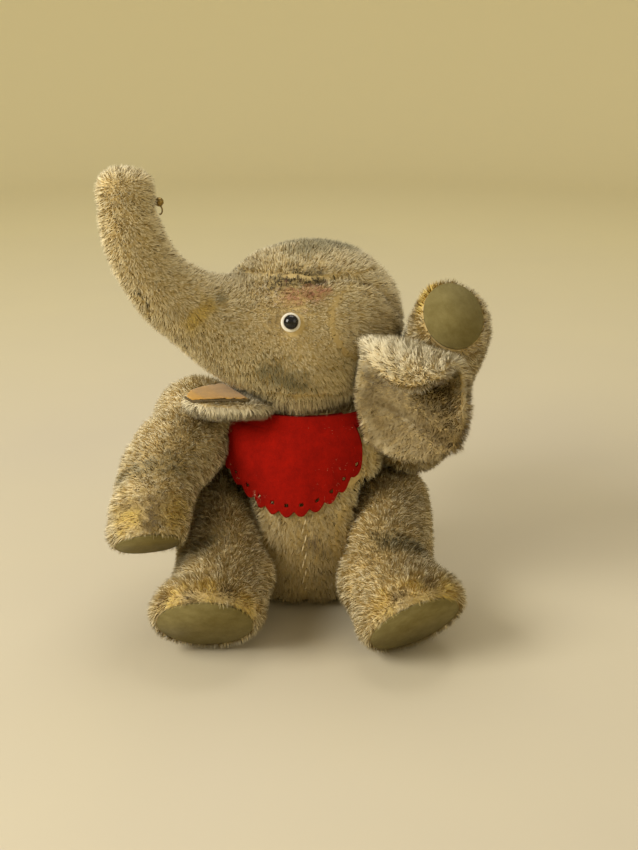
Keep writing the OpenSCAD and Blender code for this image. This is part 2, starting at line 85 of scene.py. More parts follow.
def shaded(name, colour, rough, sheen=0.0):
    """A material with one Principled shader, and its node tree and shader."""
    made = bpy.data.materials.new(name)
    made.use_nodes = True
    shader = made.node_tree.nodes["Principled BSDF"]
    shader.inputs["Base Color"].default_value = (*colour, 1)
    shader.inputs["Roughness"].default_value = rough
    shader.inputs["Sheen Weight"].default_value = sheen
    return made, made.node_tree, shader


def solid_from(name, form, material, smooth=True):
    """The piece that a bmesh holds, in the scene, with its faces outwards."""
    mesh = bpy.data.meshes.new(name)
    form.to_mesh(mesh)
    form.free()
    made = bpy.data.objects.new(name, mesh)
    bpy.context.scene.collection.objects.link(made)
    mesh.materials.append(material)
    mesh.polygons.foreach_set("use_smooth", [smooth] * len(mesh.polygons))
    return made


def grained(tree, shader, dark, light, scale, texture="Noise", output="Fac"):
    """Two close colours in a grain of that scale, laid by place on the piece."""
    where = tree.nodes.new("ShaderNodeTexCoord")
    grain = tree.nodes.new("ShaderNodeTex" + texture)
    grain.inputs["Scale"].default_value = scale
    tone = tree.nodes.new("ShaderNodeValToRGB")
    tone.color_ramp.elements[0].color = (*dark, 1)
    tone.color_ramp.elements[1].color = (*light, 1)
    tree.links.new(where.outputs["Object"], grain.inputs["Vector"])
    tree.links.new(grain.outputs[output], tone.inputs["Fac"])
    tree.links.new(tone.outputs["Color"], shader.inputs["Base Color"])


sweep_flat, sweep_bend, sweep_height = 1.1, 0.35, 0.75
sweep = bmesh.new()
sweep_line = [(0, 0), (0.4, 0), (sweep_flat, 0)]
for a in np.linspace(0.1, math.pi / 2, 16):
    sweep_line.append((sweep_flat + sweep_bend * math.sin(a), sweep_bend - sweep_bend * math.cos(a)))
sweep_line.append((1.45, sweep_height))
sweep_verts = [sweep.verts.new((x, 0, z - 0.0005)) for x, z in sweep_line]
sweep_edges = [sweep.edges.new(pair) for pair in zip(sweep_verts, sweep_verts[1:])]
bmesh.ops.spin(sweep, geom=sweep_verts + sweep_edges, cent=(0, 0, 0), axis=(0, 0, 1), angle=2 * math.pi,
               steps=96, use_merge=True)
bmesh.ops.remove_doubles(sweep, verts=sweep.verts, dist=1e-6)
bmesh.ops.recalc_face_normals(sweep, faces=sweep.faces)
if sweep.faces[0].normal.z <= 0:
    bmesh.ops.reverse_faces(sweep, faces=sweep.faces[:])
sweep_cloth, sweep_tree, sweep_shader = shaded("backdrop_cloth", paint(185, 177, 154), 0.9)
sweep_where = sweep_tree.nodes.new("ShaderNodeTexCoord")
sweep_grain = sweep_tree.nodes.new("ShaderNodeTexNoise")
sweep_grain.inputs["Scale"].default_value = 7
# Painted shade and light: the cloth is painted darker near the middle, under the toy, and lighter out to a metre from
# it and on the swept walls, with a little grain over it.
sweep_axes = sweep_tree.nodes.new("ShaderNodeVectorMath")
sweep_axes.operation = "LENGTH"
sweep_painted_falloff = sweep_tree.nodes.new("ShaderNodeMapRange")
sweep_painted_falloff.inputs["From Min"].default_value = 0.25
sweep_painted_falloff.inputs["From Max"].default_value = 1.0
sweep_grain_and_falloff = sweep_tree.nodes.new("ShaderNodeMath")
sweep_grain_and_falloff.operation = "MULTIPLY_ADD"
sweep_grain_and_falloff.inputs[1].default_value = 0.3
sweep_tone = sweep_tree.nodes.new("ShaderNodeValToRGB")
sweep_tone.color_ramp.elements[0].color = (*paint(196, 187, 168), 1)
sweep_tone.color_ramp.elements[1].color = (*paint(221, 211, 171), 1)
sweep_tree.links.new(sweep_where.outputs["Object"], sweep_grain.inputs["Vector"])
sweep_tree.links.new(sweep_where.outputs["Object"], sweep_axes.inputs[0])
sweep_tree.links.new(sweep_axes.outputs["Value"], sweep_painted_falloff.inputs["Value"])
sweep_tree.links.new(sweep_grain.outputs["Fac"], sweep_grain_and_falloff.inputs[0])
sweep_tree.links.new(sweep_painted_falloff.outputs["Result"], sweep_grain_and_falloff.inputs[2])
sweep_tree.links.new(sweep_grain_and_falloff.outputs["Value"], sweep_tone.inputs["Fac"])
sweep_tree.links.new(sweep_tone.outputs["Color"], sweep_shader.inputs["Base Color"])
backdrop = solid_from("backdrop", sweep, sweep_cloth)

# ---- Lamps: a large soft one above on the left, a weaker one on the right, and a pale room ----
# They are plain area lamps, turned towards the middle of the toy.

room = bpy.data.worlds.new("room")
room.use_nodes = True
room.node_tree.nodes["Background"].inputs["Color"].default_value = (1.0, 0.89, 0.68, 1)
room.node_tree.nodes["Background"].inputs["Strength"].default_value = 0.40
bpy.context.scene.world = room


def soft_lamp(name, place, size, power, colour):
    lamp = bpy.data.lights.new(name, "AREA")
    lamp.size = size
    lamp.energy = power
    lamp.color = colour
    stand = bpy.data.objects.new(name, lamp)
    bpy.context.scene.collection.objects.link(stand)
    stand.location = place
    stand.rotation_euler = (seat_middle - Vector(place)).to_track_quat("-Z", "Y").to_euler()


soft_lamp("key_lamp", (-0.82, -0.55, 0.72), 0.6, 13.0, (1.0, 0.96, 0.87))
soft_lamp("fill_lamp", (0.85, -0.55, 0.6), 0.7, 1.7, (1.0, 0.93, 0.78))
soft_lamp("top_lamp", (0.1, 0.35, 1.0), 0.6, 3.4, (1.0, 0.96, 0.86))

# ---- Body: a stuffed mohair bag, closed by hand down the belly ----
# Mohair is a woven cloth with a dense pile. The bag is the CAD skin and filling in one, closed over its
# seams. Pressure from inside eases the cloth by a fraction of a millimetre. The pile is separate hairs.

MM = 0.001
# Hair colours from root to tip: the darker root is painted shade, where the hairs shade each other, and the pale tip is
# painted light, where the pile scatters it.
hair_root_painted_shade = np.array(paint(194, 170, 114))
hair_middle = np.array(paint(228, 210, 162))
hair_tip_painted_light = np.array(paint(244, 235, 208))
backing, backing_tree, backing_shader = shaded("mohair_backing", paint(122, 98, 58), 0.95)
grained(backing_tree, backing_shader, paint(184, 160, 104), paint(212, 190, 138), 900)

mohair, mohair_tree, mohair_shader = shaded("mohair_pile", hair_middle, 0.7, 0.04)
mohair_shader.inputs["Specular IOR Level"].default_value = 0.2
# The pile's colour is read from its points: the marks, with painted shade at the roots and painted light at the tips.
mohair_dye_and_painted_light = mohair_tree.nodes.new("ShaderNodeAttribute")
mohair_dye_and_painted_light.attribute_name = "dye_and_painted_light"
mohair_tree.links.new(mohair_dye_and_painted_light.outputs["Color"], mohair_shader.inputs["Base Color"])


def places(mesh):
    at = np.empty(len(mesh.vertices) * 3, np.float32)
    mesh.vertices.foreach_get("co", at)
    return at.reshape(-1, 3).astype(float)


def moved(made, at):
    """Puts the points of a piece at new places."""
    made.data.vertices.foreach_set("co", at.astype(np.float32).ravel())
    made.data.update()


def applied(made):
    """Makes what the modifiers of a piece do its own mesh."""
    layers = bpy.context.evaluated_depsgraph_get()
    mesh = bpy.data.meshes.new_from_object(made.evaluated_get(layers))
    made.modifiers.clear()
    made.data = mesh
    return made


def biggest_part(form):
    """Removes all of a bmesh but its largest closed part."""
    left, best = set(form.verts), []
    while left:
        part, edge = [], [left.pop()]
        while edge:
            v = edge.pop()
            part.append(v)
            for e in v.link_edges:
                w = e.other_vert(v)
                if w in left:
                    left.remove(w)
                    edge.append(w)
        best = max(best, part, key=len)
    held = set(best)
    bmesh.ops.delete(form, geom=[v for v in form.verts if v not in held], context="VERTS")


def puffed(made, most, steps=12):
    """The cloth is simulated with pressure inside for a few steps. No point moves by more than most."""
    start = places(made.data)
    cloth = made.modifiers.new("stuffed", "CLOTH")
    cloth.settings.use_pressure = True
    cloth.settings.uniform_pressure_force = 4
    cloth.settings.quality = 4
    cloth.settings.effector_weights.gravity = 0
    cloth.point_cache.frame_end = steps
    for step in range(1, steps + 1):
        bpy.context.scene.frame_set(step)
    layers = bpy.context.evaluated_depsgraph_get()
    move = places(made.evaluated_get(layers).data) - start
    made.modifiers.clear()
    bpy.context.scene.frame_set(1)
    far = np.maximum(np.linalg.norm(move, axis=1, keepdims=True), 1e-9)
    move *= np.minimum(1, most / far)
    moved(made, start + move)


def softened(form, times, factor):
    for _ in range(times):
        bmesh.ops.smooth_vert(form, verts=form.verts, factor=factor,
                              use_axis_x=True, use_axis_y=True, use_axis_z=True)


def eased(name, nodes, material, grain, ease, one_part):
    """One closed skin in the space of CAD nodes, with its facets eased into a smooth surface."""
    form = bmesh.new()
    for n in nodes:
        form.from_mesh(cad_nodes[n].data)
    bmesh.ops.remove_doubles(form, verts=form.verts, dist=1e-6)
    made = solid_from(name, form, material)
    closed = made.modifiers.new("closed", "REMESH")
    closed.mode = "VOXEL"
    closed.voxel_size = grain
    applied(made)
    form = bmesh.new()
    form.from_mesh(made.data)
    if one_part:
        biggest_part(form)
    softened(form, ease, 0.5)
    form.to_mesh(made.data)
    form.free()
    return made


def dressed(made, material, body, nodes):
    """A finished piece: its cloth, the body it moves with and the CAD nodes it stands for."""
    made.data.materials.clear()
    made.data.materials.append(material)
    made.data.polygons.foreach_set("use_smooth", [True] * len(made.data.polygons))
    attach(made, body)
    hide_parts(*nodes)


def stuffed(name, nodes, body, creases=(), grain=2.2 * MM, ease=7, most=1.2 * MM):
    """A stuffed mohair bag in the space of its CAD nodes, with its creases pulled in."""
    made = eased(name, nodes, backing, grain, ease, True)
    puffed(made, most)
    finer = made.modifiers.new("finer", "SUBSURF")
    finer.levels = finer.render_levels = 1
    applied(made)
    for line, deep, wide in creases:
        at = places(made.data)
        out = np.array([n.vector for n in made.data.vertex_normals], float)
        near = np.exp(-((along(at, line) / wide) ** 2))
        at -= out * (deep * near)[:, None]
        moved(made, at)
    dressed(made, backing, body, nodes)
    return made


def along(at, line):
    """How far each place is from a line of points."""
    line = [np.array(p, float) for p in line]
    if len(line) == 1:
        return np.linalg.norm(at - line[0], axis=1)
    best = np.full(len(at), 1e9)
    for a, b in zip(line, line[1:]):
        ab = b - a
        t = np.clip(((at - a) @ ab) / (ab @ ab), 0, 1)
        best = np.minimum(best, np.linalg.norm(at - a - t[:, None] * ab, axis=1))
    return best


def ripple(at, size, seed):
    """A smooth noise from about -1 to 1, with waves of that size."""
    draw = np.random.default_rng(seed)
    total = np.zeros(len(at))
    for _ in range(6):
        way = draw.normal(size=3)
        way *= 2 * math.pi / (size * np.linalg.norm(way)) * draw.uniform(0.6, 1.5)
        total += np.sin(at @ way + draw.uniform(0, 6.3))
    return total / 2.4


def unit(v):
    return v / np.maximum(np.linalg.norm(v, axis=1, keepdims=True), 1e-9)


def sprayed(shade, at, marks):
    """Hair colours with marks laid on: airbrushed marks, painted shade in the ears' hollows and creases, and a darker
    tint on the belly; each a line of points in mm, a width, a colour and a strength.
    """
    for line, wide, colour, strength in marks:
        near = [at[np.argmin(((at - np.array(p) * MM) ** 2).sum(1))] for p in line]
        d = along(at, near) / (1.2 * wide * MM)
        d = d * (1 + 0.3 * ripple(at, 5 * MM, 7))
        w = strength * np.exp(-(d**3))
        shade = shade * (1 - w[:, None]) + np.array(paint(*colour)) * w[:, None]
    return shade


lock_size = 1.7 * MM
lock_count = 100003


def pile(name, bag, body, count, comb, long=3.7 * MM, marks=(), clear=(), thin=None, seed=1, lean=0.4, pale=0.0):
    """Mohair pile on a bag. comb is the way the hairs are brushed, thin their share and length by place."""
    draw = np.random.default_rng(seed)
    mesh = bag.data
    mesh.calc_loop_triangles()
    corner = np.empty(len(mesh.loop_triangles) * 3, np.int32)
    mesh.loop_triangles.foreach_get("vertices", corner)
    corner = corner.reshape(-1, 3)
    at = places(mesh)
    out = np.empty(len(mesh.vertices) * 3, np.float32)
    mesh.vertex_normals.foreach_get("vector", out)
    out = out.reshape(-1, 3).astype(float)
    a, b, c = (at[corner[:, k]] for k in range(3))
    area = np.linalg.norm(np.cross(b - a, c - a), axis=1)
    pick = draw.choice(len(area), count, p=area / area.sum())
    u, v = draw.random((2, count))
    over = u + v > 1
    u[over], v[over] = 1 - u[over], 1 - v[over]
    share = np.stack([1 - u - v, u, v], 1)[:, :, None]
    root = (at[corner[pick]] * share).sum(1)
    up = unit((out[corner[pick]] * share).sum(1))
    length = long * draw.uniform(0.72, 1.18, count) * (1 + 0.1 * ripple(root, 9 * MM, seed))
    if thin is not None:
        kept, shorter = thin(root, up)
        stays = draw.random(count) < kept
        root, up, length = root[stays], up[stays], (length * shorter)[stays]
    way = comb(root, up)
    way = way - up * (way * up).sum(1, keepdims=True)
    tuft = np.stack([ripple(root, 4 * MM, seed + k) for k in (11, 12, 13)], 1)
    first = unit(up + lean * 0.7 * way + 0.12 * tuft + draw.normal(0, 0.12, root.shape))
    second = unit(first + lean * 0.8 * way + 0.1 * tuft + draw.normal(0, 0.1, root.shape) - [0, 0, 0.06])
    # Hairs that would run into a neighbour are pressed short.
    for shape in clear:
        wall = BVHTree.FromPolygons(*shape)
        straight = unit(first + second)
        for k in range(len(root)):
            hit = wall.ray_cast(Vector(root[k]), Vector(straight[k]), length[k])
            if hit[0] is not None:
                length[k] = min(length[k], 0.8 * hit[3])
    stays = length > 0.9 * MM
    root, up, length, first, second = (x[stays] for x in (root, up, length, first, second))
    n = len(root)
    # Locks: neighbouring hairs draw together towards their tips.
    cell = np.floor(root / lock_size).astype(np.int64)
    key = (cell * [73856093, 19349663, 83492791]).sum(1) % lock_count
    middle = np.zeros((lock_count, 4))
    np.add.at(middle, key, np.concatenate([root, np.ones((n, 1))], 1))
    pull = middle[key, :3] / middle[key, 3:] - root
    half = root + first * length[:, None] * 0.5 + 0.06 * pull
    tip = half + second * length[:, None] * 0.5 + 0.18 * pull
    side = unit(np.cross(first, up) + draw.normal(0, 0.35, root.shape))
    side = unit(side - first * (side * first).sum(1, keepdims=True))
    facing = (np.cross(side, first) * up).sum(1)
    side[facing < 0] *= -1
    wide = draw.uniform(0.1, 0.15, (n, 1)) * MM
    narrow = side * wide * 0.8
    hair = np.stack([root - side * wide, root + side * wide, half + narrow, half - narrow, tip], 1)
    hair[:, :, 2] = np.maximum(hair[:, :, 2], 0.2 * MM)
    light = draw.uniform(0.84, 1.12, (n, 1)) * (1 + 0.07 * ripple(root, 14 * MM, seed + 3))[:, None]
    # Painted shade and light: each hair runs from the darker root colour to the pale tip colour, with the marks laid
    # over it.
    shades = []
    for depth, tone in ((0, hair_root_painted_shade), (0.55, hair_middle), (1, hair_tip_painted_light)):
        shade = np.repeat(tone[None] * (1 - pale) + hair_tip_painted_light[None] * pale, n, 0) * light
        marked = sprayed(shade, root, marks)
        shades.append(shade + (marked - shade) * (0.8 + 0.2 * depth))
    dye_and_painted_light = np.stack([shades[0], shades[0], shades[1], shades[1], shades[2]], 1)
    normal = unit(up + 0.18 * np.cross(side, first) + 0.15 * first)
    made = bpy.data.meshes.new(name)
    made.vertices.add(5 * n)
    made.vertices.foreach_set("co", hair.astype(np.float32).ravel())
    faces = np.array([0, 1, 2, 3, 3, 2, 4]) + 5 * np.arange(n)[:, None]
    made.loops.add(7 * n)
    made.loops.foreach_set("vertex_index", faces.astype(np.int32).ravel())
    made.polygons.add(2 * n)
    starts = np.array([0, 4]) + 7 * np.arange(n)[:, None]
    made.polygons.foreach_set("loop_start", starts.astype(np.int32).ravel())
    made.update(calc_edges=True)
    made.polygons.foreach_set("use_smooth", [True] * (2 * n))
    colours = made.color_attributes.new("dye_and_painted_light", "FLOAT_COLOR", "POINT")
    colours.data.foreach_set("color", np.concatenate([dye_and_painted_light, np.ones((n, 5, 1))], 2).astype(np.float32).ravel())
    # The map lays each corner by its lightness and its warmth, so that like colours share a place.
    tone = dye_and_painted_light.reshape(-1, 3) @ [0.3, 0.6, 0.1]
    warm = (dye_and_painted_light.reshape(-1, 3)[:, 0] - dye_and_painted_light.reshape(-1, 3)[:, 2]) / (dye_and_painted_light.reshape(-1, 3).sum(1) + 1e-6)
    spot = np.stack([np.clip(tone / 0.9, 0.01, 0.99), np.clip(warm * 1.6, 0.01, 0.99)], 1)
    spot += np.random.default_rng(5).uniform(-0.004, 0.004, spot.shape)
    made.uv_layers.new(name="OFBake").uv.foreach_set("vector", spot[faces.ravel()].astype(np.float32).ravel())
    made.normals_split_custom_set_from_vertices(np.repeat(normal, 5, 0).astype(np.float32))
    made.materials.append(mohair)
    piece = bpy.data.objects.new(name, made)
    bpy.context.scene.collection.objects.link(piece)
    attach(piece, body)
    return piece


def walls(*names):
    """The surfaces of CAD nodes, for the pile to keep clear of."""
    found = []
    for n in names:
        mesh = cad_nodes[n].data
        found.append(([v.co for v in mesh.vertices], [tuple(p.vertices) for p in mesh.polygons]))
    return found


def hanging(root, up):
    """Pile brushed down and a little outwards."""
    return np.repeat([[0, 0, -1.0]], len(root), 0)


torso = stuffed("body_mohair", ["torso_skin", "torso_stuffing"], "torso",
                creases=[([np.array([0, -0.04, 0.062]), np.array([0, -0.037, 0.004])], 1.4 * MM, 2.5 * MM)])
belly_marks = [
    # A broad olive tint darkens the belly down its middle, and a small dark spot lies beside the seam.
    ([(0, -36, 50), (0, -36, 8)], 17, (148, 122, 70), 0.6),
    ([(4, -37, 40), (8, -36, 36)], 3.0, (70, 50, 36), 0.7),
]


def under_bib(root, up):
    """Less pile where the bib presses on it, and at the belly seam."""
    low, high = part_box("bib")
    covered = (root[:, 2] > low.z + 0.012) & (root[:, 1] < -0.018) & (abs(root[:, 0]) < 0.026)
    seam = np.exp(-((abs(root[:, 0]) / (1.6 * MM)) ** 2)) * (root[:, 1] < 0) * (root[:, 2] < 0.06)
    return np.where(covered, 0.12, 1 - 0.5 * seam), 1 - 0.45 * seam


torso_walls = walls("bib", "head_skin", "arm_left_skin", "arm_right_skin", "leg_left_skin", "leg_right_skin")
pile("body_pile", torso, "torso", 62000, hanging, marks=belly_marks, clear=torso_walls, thin=under_bib, seed=3)

# The hand stitches down the belly are cream thread, each a short bent length let into the cloth.
thread, thread_tree, thread_shader = shaded("cream_thread", paint(206, 186, 140), 0.8)
grained(thread_tree, thread_shader, paint(170, 148, 100), paint(222, 206, 166), 1500, "Wave", "Color")


def stitches(name, lines, thick, body, material=thread):
    """Threads along lines of points, each a round tube with closed ends."""
    curve = bpy.data.curves.new(name, "CURVE")
    curve.dimensions = "3D"
    curve.bevel_depth = thick / 2
    curve.bevel_resolution = 1
    curve.use_fill_caps = True
    for line in lines:
        spline = curve.splines.new("POLY")
        spline.points.add(len(line) - 1)
        for point, place in zip(spline.points, line):
            point.co = (*place, 1)
    drawn = bpy.data.objects.new(name, curve)
    bpy.context.scene.collection.objects.link(drawn)
    mesh = bpy.data.meshes.new_from_object(drawn.evaluated_get(bpy.context.evaluated_depsgraph_get()))
    bpy.data.objects.remove(drawn)
    made = bpy.data.objects.new(name, mesh)
    bpy.context.scene.collection.objects.link(made)
    mesh.materials.clear()
    mesh.materials.append(material)
    mesh.polygons.foreach_set("use_smooth", [True] * len(mesh.polygons))
    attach(made, body)
    return made


def surface_of(made):
    mesh = made.data
    return BVHTree.FromPolygons([v.co for v in mesh.vertices], [tuple(p.vertices) for p in mesh.polygons])


torso_top = surface_of(torso)
seam_lines = []
for k, z in enumerate(np.arange(0.010, 0.056, 0.0046)):
    line = []
    for t in np.linspace(0, 1, 6):
        ahead = Vector((0.0012 * (t - 0.5) + 0.0006 * (-1) ** k, -0.09, z + 0.0052 * t))
        place = torso_top.ray_cast(ahead, Vector((0, 1, 0)))[0]
        line.append(place + Vector((0, -0.0026 * math.sin(math.pi * t) + 0.0006, 0)))
    seam_lines.append(line)
stitches("belly_stitches", seam_lines, 0.75 * MM, "torso")

# ---- Head: one mohair bag for the skull and the raised trunk ----
# Its two sides are joined by a gusset over the skull, whose seam shows as a parting. Brows, cheeks and
# trunk are airbrushed. The pile is clipped short on the face, and longer behind the seam.

neck_place = next(Vector(j["pos_m"]) for j in frame["joints"] if j["name"] == "neck_turn")
head_turn = math.radians(-60)
facing = np.array([math.sin(head_turn), -math.cos(head_turn), 0])
leftward = np.array([math.cos(head_turn), math.sin(head_turn), 0])


def on_head(across, forward, up):
    """A place in metres, from mm to the elephant's left of the neck, ahead of it and above it."""
    return np.array(neck_place) + MM * (across * leftward + forward * facing + up * np.array([0, 0, 1]))


def both_sides(*line):
    """A line of places on the left of the head and its mirror image on the right, in mm."""
    return [[on_head(side * a, f, u) / MM for a, f, u in line] for side in (1, -1)]


head_marks = []
for line, wide, colour, strength in (
    (((18, 25, 63), (20, 20, 65), (22, 13, 66.5), (24, 7, 66)), 3.4, (44, 40, 28), 1.0),   # brow
    (((25, -7, 64), (24, -21, 59), (24, -30, 51), (21, -38, 41)), 0.9, (112, 86, 46), 0.8),  # the gusset seam
    (((23, 22, 59), (26.6, 16, 59), (28, 7, 60)), 3.0, (200, 118, 96), 0.7),               # pink under the brow
    (((15, 30, 60), (20, 27, 59)), 2.6, (240, 230, 208), 0.6),                             # pale corner before the eye
    (((25.3, 28.6, 48.8),), 2.2, (104, 70, 40), 0.8),                                      # corner of the eye
    (((7, 6, 75), (5, -8, 75), (1, -22, 72)), 5.5, (104, 102, 76), 0.6),                   # top of the head
    (((23, 32, 26), (26, 26, 23), (27, 19, 18)), 5.0, (92, 92, 68), 0.7),                  # cheek
    (((13, 50, 59),), 3.0, (110, 106, 80), 0.65),                                          # root of the trunk
    (((13.6, 64.6, 51), (15, 59, 57)), 3.4, (228, 196, 88), 0.8),                          # yellow on the trunk
):
    for place in both_sides(*line):
        head_marks.append((place, wide, colour, strength))
gusset_line = ((22, 14, 62), (26, 4, 64), (25, -7, 64), (24, -21, 59), (24, -30, 51), (21, -38, 41))
gusset_seams = [np.array(s) * MM for s in both_sides(*gusset_line)]

head = stuffed("head_mohair", ["head_skin", "head_stuffing"], "head",
               creases=[(list(s), 1.5 * MM, 2.2 * MM) for s in gusset_seams], grain=2.2 * MM)


def on_face(root, up):
    """Short pile round the eyes and on the cheeks, a parting at the seams, none under the felt rings."""
    eyes = np.minimum(along(root, [on_head(29.6, 22.5, 48)]), along(root, [on_head(-29.6, 22.5, 48)]))
    ring = eyes < 5.2 * MM
    near_eye = np.exp(-((eyes / (9 * MM)) ** 2))
    seam = np.exp(-((np.minimum(*(along(root, list(s)) for s in gusset_seams)) / (1.3 * MM)) ** 2))
    back = np.clip((0.012 - (root - np.array(neck_place)) @ facing) / 0.04, 0, 1)
    cheek = np.clip(1 - abs((root - np.array(neck_place)) @ facing - 0.008) / 0.035, 0, 1)
    shorter = (1 - 0.55 * near_eye) * (1 - 0.22 * cheek) * (1 - 0.5 * seam) * (1 + 0.25 * back)
    return np.where(ring, 0, 1 - 0.2 * seam), shorter


def brushed_back(root, up):
    """Head pile is brushed from the trunk to the back of the skull, and a little down."""
    return np.repeat([-0.75 * facing + [0, 0, -0.45]], len(root), 0)


head_walls = walls("torso_skin", "arm_left_skin", "arm_right_skin", "bib_band", "mouth_lining")
pile("head_pile", head, "head", 66000, brushed_back, 3.1 * MM, head_marks, head_walls, on_face, seed=5, lean=0.4)
pile("head_pile_under", head, "head", 62000, brushed_back, 2.4 * MM, head_marks, head_walls, on_face, seed=6,
     lean=0.35)


def chin_only(root, up):
    """The longer fringe grows only along the underside of the cheeks and the chin."""
    low = np.exp(-(((root[:, 2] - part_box("head_skin")[0].z - 4 * MM) / (4 * MM)) ** 2))
    return low * (up[:, 2] < 0.1) * (up[:, 2] > -0.9), np.ones(len(root))


def straight_down(root, up):
    return up * [1, 1, 0] * 0.4 + [0, 0, -1]


chin_walls = walls("torso_skin", "arm_left_skin", "mouth_lining")
pile("chin_fringe", head, "head", 60000, straight_down, 6.4 * MM, (), chin_walls, chin_only, seed=9, lean=1.1, pale=0.3)

# ---- Mouth: a mohair lower lip with a tan felt lining ----
# The lip is a flap sewn under the head. Its lining is a separate felt, held by a row of dark stitches.

felt_tan, tan_tree, tan_shader = shaded("tan_felt", paint(176, 128, 62), 0.95, 0.3)
felt_white, white_tree, white_shader = shaded("white_felt", paint(232, 226, 210), 0.95, 0.2)
felt_grey, grey_tree, grey_shader = shaded("grey_felt", paint(138, 130, 96), 0.95, 0.03)
grey_shader.inputs["Specular IOR Level"].default_value = 0.1
felt_red, red_tree, red_shader = shaded("red_felt", paint(170, 16, 4), 0.95, 0.0)
red_shader.inputs["Specular IOR Level"].default_value = 0.12


def felted(tree, shader, dark, light):
    """Felt: matted wool with cloudy colour, a fine nap and small pits in its bump."""
    where = tree.nodes.new("ShaderNodeTexCoord")
    cloud = tree.nodes.new("ShaderNodeTexNoise")
    cloud.inputs["Scale"].default_value = 160
    cloud.inputs["Detail"].default_value = 6
    cloud.inputs["Roughness"].default_value = 0.75
    tone = tree.nodes.new("ShaderNodeValToRGB")
    tone.color_ramp.elements[0].position = 0.3
    tone.color_ramp.elements[1].position = 0.72
    tone.color_ramp.elements[0].color = (*paint(*dark), 1)
    tone.color_ramp.elements[1].color = (*paint(*light), 1)
    nap = tree.nodes.new("ShaderNodeTexNoise")
    nap.inputs["Scale"].default_value = 1500
    nap.inputs["Detail"].default_value = 4
    bump = tree.nodes.new("ShaderNodeBump")
    bump.inputs["Strength"].default_value = 0.5
    bump.inputs["Distance"].default_value = 0.0003
    tree.links.new(where.outputs["Object"], cloud.inputs["Vector"])
    tree.links.new(where.outputs["Object"], nap.inputs["Vector"])
    tree.links.new(cloud.outputs["Fac"], tone.inputs["Fac"])
    tree.links.new(tone.outputs["Color"], shader.inputs["Base Color"])
    tree.links.new(nap.outputs["Fac"], bump.inputs["Height"])
    tree.links.new(bump.outputs["Normal"], shader.inputs["Normal"])


felted(tan_tree, tan_shader, (168, 124, 48), (202, 156, 74))
felted(white_tree, white_shader, (214, 206, 186), (240, 236, 224))
felted(grey_tree, grey_shader, (108, 97, 56), (132, 121, 78))
felted(red_tree, red_shader, (122, 8, 1), (154, 15, 2))

lip = stuffed("lower_lip_mohair", ["lower_lip"], "head", grain=1.1 * MM, ease=3, most=0.4 * MM)


def lip_rim(root, up):
    """Little pile on top, where the lining lies."""
    return np.where(up[:, 2] > 0.6, 0.6, 1.0), np.where(up[:, 2] > 0.6, 0.5, 1.0)


def outwards(root, up):
    return up * [1, 1, 0] + [0, 0, -0.7]


lip_walls = walls("head_skin", "mouth_lining", "arm_right_skin")
lip_coat = pile("lower_lip_pile", lip, "head", 24000, outwards, 4.6 * MM, clear=lip_walls, thin=lip_rim, seed=8,
                lean=0.9, pale=0.55)

lining = eased("mouth_lining_felt", ["mouth_lining"], felt_tan, 0.5 * MM, 3, False)
dressed(lining, felt_tan, "head", ["mouth_lining"])
dark_thread, dark_tree, dark_shader = shaded("dark_thread", paint(92, 78, 48), 0.8)
felted(dark_tree, dark_shader, (64, 52, 30), (104, 88, 54))
rim = places(lining.data)
rim_middle = rim.mean(0)
outline = []
for turn in np.linspace(math.radians(188), math.radians(368), 37):
    way = np.array([math.cos(turn), math.sin(turn), 0])
    edge = rim[np.argmax((rim - rim_middle) @ way)]
    outline.append(edge + way * 0.5 * MM - [0, 0, 0.5 * MM])
lining_seam = [[Vector(p) for p in outline[k:k + 2]] for k in range(0, 36)]
lining_thread = stitches("mouth_stitches", [line for line in lining_seam if (line[0] - line[1]).length > 1e-5],
                         1.1 * MM, "head", dark_thread)
for piece in (lip, lip_coat, lining, lining_thread):
    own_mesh(piece)

# ---- Eyes: black glass on white felt rings ----
# The eye is a glass button on a wire shank, pulled tight on a felt washer with a soft cut edge.

glass, glass_tree, glass_shader = shaded("black_glass", (0.004, 0.004, 0.004), 0.08)
glass_shader.inputs["Specular IOR Level"].default_value = 0.35
glass_shader.inputs["Coat Weight"].default_value = 0.15
grained(glass_tree, glass_shader, (0.003, 0.003, 0.003), (0.010, 0.009, 0.008), 700)


def turned_on(name, profile, middle, axis, material, body, steps=40):
    """A round piece: a profile of (radius, height) points in mm, spun about an axis through a place."""
    form = bmesh.new()
    line = [form.verts.new((r * MM, 0, h * MM)) for r, h in profile]
    edges = [form.edges.new(pair) for pair in zip(line, line[1:])]
    bmesh.ops.spin(form, geom=line + edges, cent=(0, 0, 0), axis=(0, 0, 1), angle=2 * math.pi, steps=steps,
                   use_merge=True)
    bmesh.ops.remove_doubles(form, verts=form.verts, dist=1e-6)
    bmesh.ops.recalc_face_normals(form, faces=form.faces)
    turn = Vector(axis).to_track_quat("Z", "Y").to_matrix().to_4x4()
    bmesh.ops.transform(form, verts=form.verts, matrix=Matrix.Translation(middle) @ turn)
    made = solid_from(name, form, material)
    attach(made, body)
    return made


